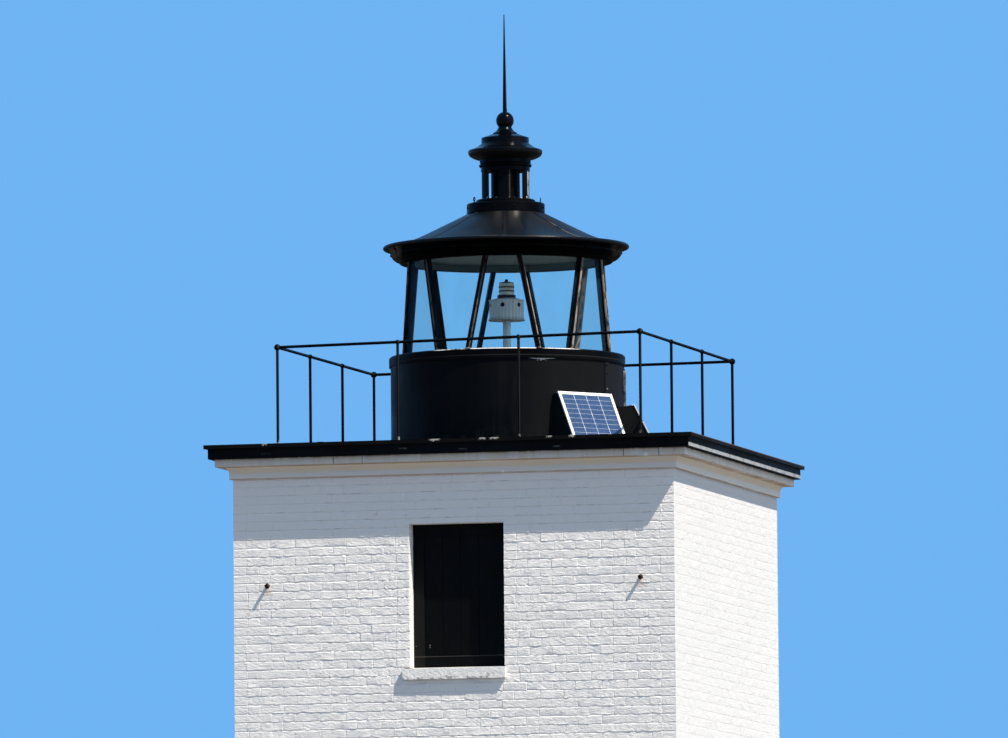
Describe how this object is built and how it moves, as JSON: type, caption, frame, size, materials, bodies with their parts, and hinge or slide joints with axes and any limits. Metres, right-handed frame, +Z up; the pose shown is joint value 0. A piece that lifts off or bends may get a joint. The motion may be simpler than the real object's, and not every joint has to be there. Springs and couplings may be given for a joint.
{
  "type": "lighthouse",
  "caption": "Square white brick lighthouse tower with a railed gallery and a round black iron lantern with slanted glazing bars, ventilator and spire.",
  "frame": {"origin": "ground level under the middle of the tower", "axes": "+Z up, front with entrance and windows facing -Y, +X to the right seen from the front"},
  "size_m": [4.05, 4.05, 13.382],
  "materials": {
    "foundation_stone": "weathered cut stone",
    "painted_brick": "white painted brick, weathered",
    "floor_stone": "plain stone",
    "floor_timber": "bare boards",
    "gallery_paint": "black paint on stone",
    "railing_iron": "black gloss paint",
    "parapet_iron": "black satin paint",
    "bar_iron": "black paint worn to bronze brown",
    "lantern_glass": "clear flat glass",
    "lantern_iron": "black satin paint",
    "ceiling_paint": "grey green paint",
    "ventilator_iron": "black satin paint",
    "lamp_grey": "grey paint",
    "lamp_dark": "matt black",
    "lamp_lens": "ribbed translucent grey",
    "panel_aluminium": "brushed, clear coated",
    "panel_cells": "blue cells under glass",
    "stand_iron": "black paint",
    "black_timber": "black painted timber",
    "sill_stone": "worn painted stone"
  },
  "bodies": {
    "root": {"foundation_course": "foundation_stone", "front_wall": "painted_brick", "back_wall": "painted_brick", "left_wall": "painted_brick", "right_wall": "painted_brick", "corbel_courses": "painted_brick", "cove_course": "painted_brick", "ground_floor": "floor_stone", "middle_floor": "floor_timber", "watch_room_floor": "floor_timber", "gallery_slab": "gallery_paint", "gallery_deck": "gallery_paint", "railing_front": "railing_iron", "railing_right": "railing_iron", "railing_back": "railing_iron", "railing_left": "railing_iron", "lantern_parapet": "parapet_iron", "gallery_door": "parapet_iron", "lantern_sill": "parapet_iron", "glazing_bars": "bar_iron", "lantern_glass": "lantern_glass", "lantern_head": "lantern_iron", "eave_moulding": "lantern_iron", "lantern_roof": "lantern_iron", "lantern_ceiling": "ceiling_paint", "ventilator_base": "ventilator_iron", "ventilator_slats": "ventilator_iron", "ventilator_drum": "ventilator_iron", "ventilator_collar": "ventilator_iron", "ventilator_cap": "ventilator_iron", "finial": "ventilator_iron", "lamp_post": "lamp_grey", "lamp_housing": "lamp_grey", "lamp_fittings": "lamp_dark", "lamp_lens": "lamp_lens", "solar_frames": "panel_aluminium", "solar_cells": "panel_cells", "solar_stands": "stand_iron", "iron_pegs": "stand_iron", "window_frames": "black_timber", "window_boards": "black_timber", "entrance_frame": "black_timber", "entrance_door": "black_timber", "window_sills": "sill_stone", "entrance_threshold": "sill_stone"}
  },
  "joints": []
}
